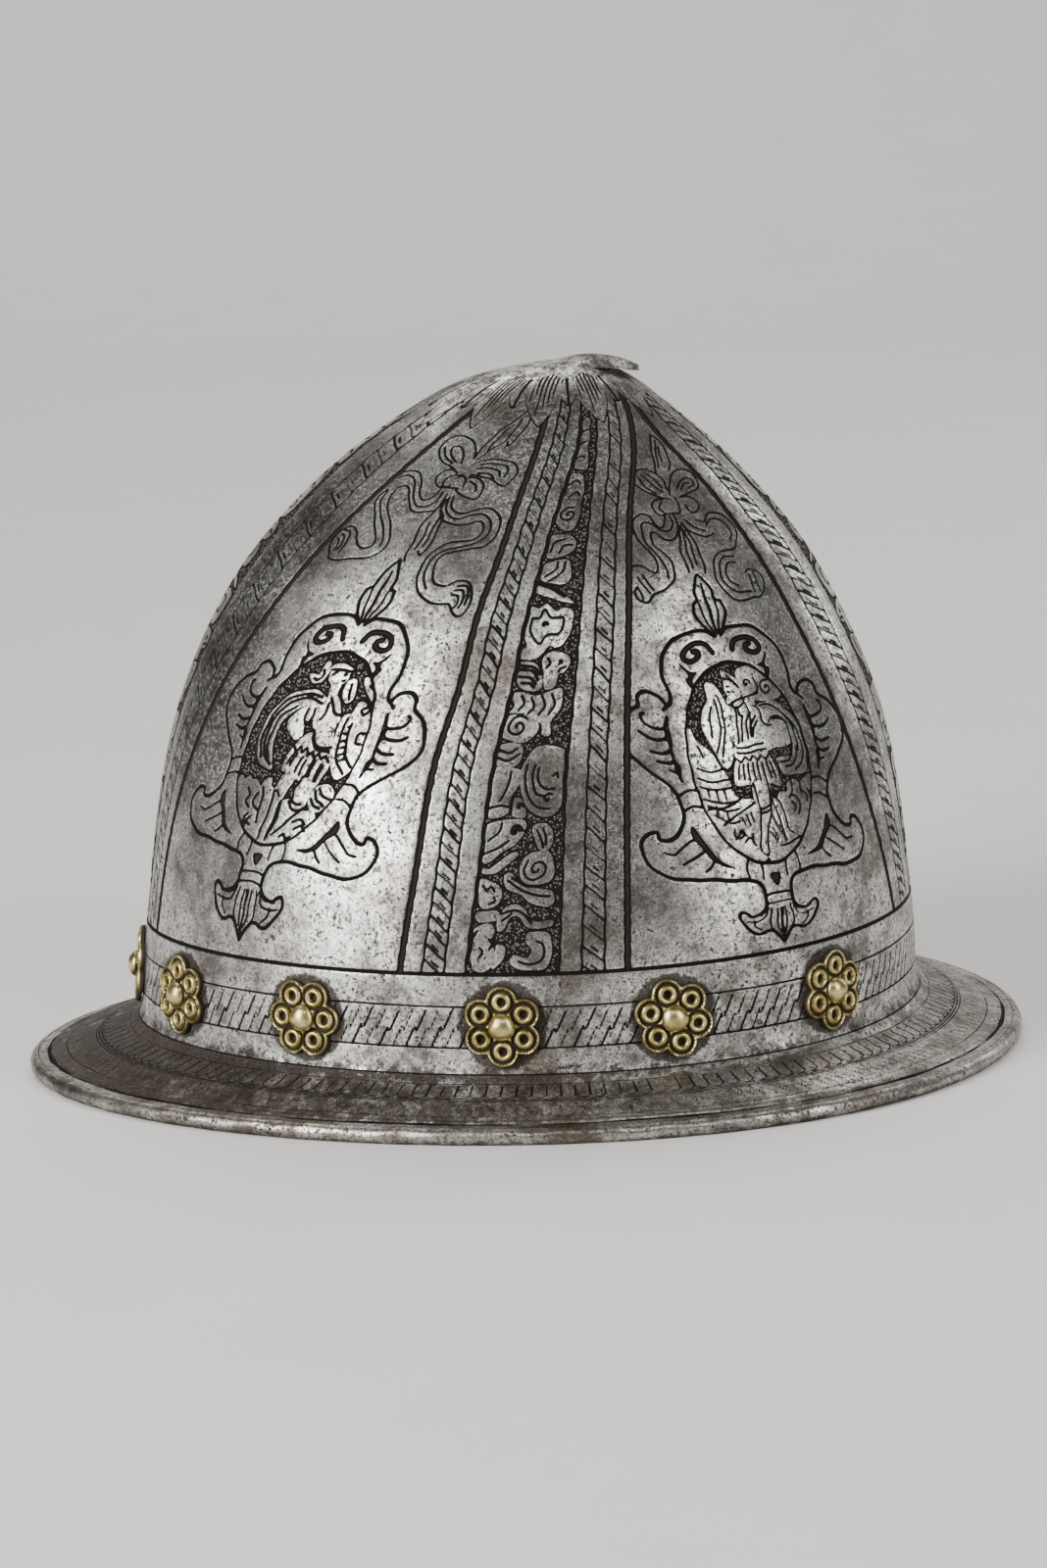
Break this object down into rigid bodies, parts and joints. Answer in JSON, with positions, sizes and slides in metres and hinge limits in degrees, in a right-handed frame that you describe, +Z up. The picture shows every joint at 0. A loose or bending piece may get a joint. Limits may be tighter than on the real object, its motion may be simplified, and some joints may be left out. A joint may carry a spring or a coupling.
{
  "type": "cabasset helmet",
  "caption": "Open steel helmet with a tall bowl, a bent stalk at the crown, a narrow brim turned over a wire, brass rosettes riveted round the base, and a quilted lining on a leather band",
  "frame": {"origin": "the middle of the surface that the brim's turned edge stands on", "axes": "+Z up to the crown, -X to the wearer's brow, +X to the nape, -Y to the wearer's left"},
  "size_m": [0.305, 0.2416, 0.2126],
  "materials": {
    "steel": "polished, worn, with dark etched lines",
    "iron_wire": "dull forged",
    "leather": "worn",
    "linen": "undyed, quilted",
    "brass": "aged"
  },
  "bodies": {
    "root": {"skull": "steel", "brim_wire": "iron_wire", "lining_band": "leather", "lining": "linen", "lining_rivets": "brass", "rivet_roves": "brass", "rosette_brow": "brass", "rosette_left_1": "brass", "rosette_left_2": "brass", "rosette_left_3": "brass", "rosette_left_4": "brass", "rosette_left_5": "brass", "rosette_right_1": "brass", "rosette_right_2": "brass", "rosette_right_3": "brass", "rosette_right_4": "brass", "rosette_right_5": "brass"}
  },
  "joints": []
}
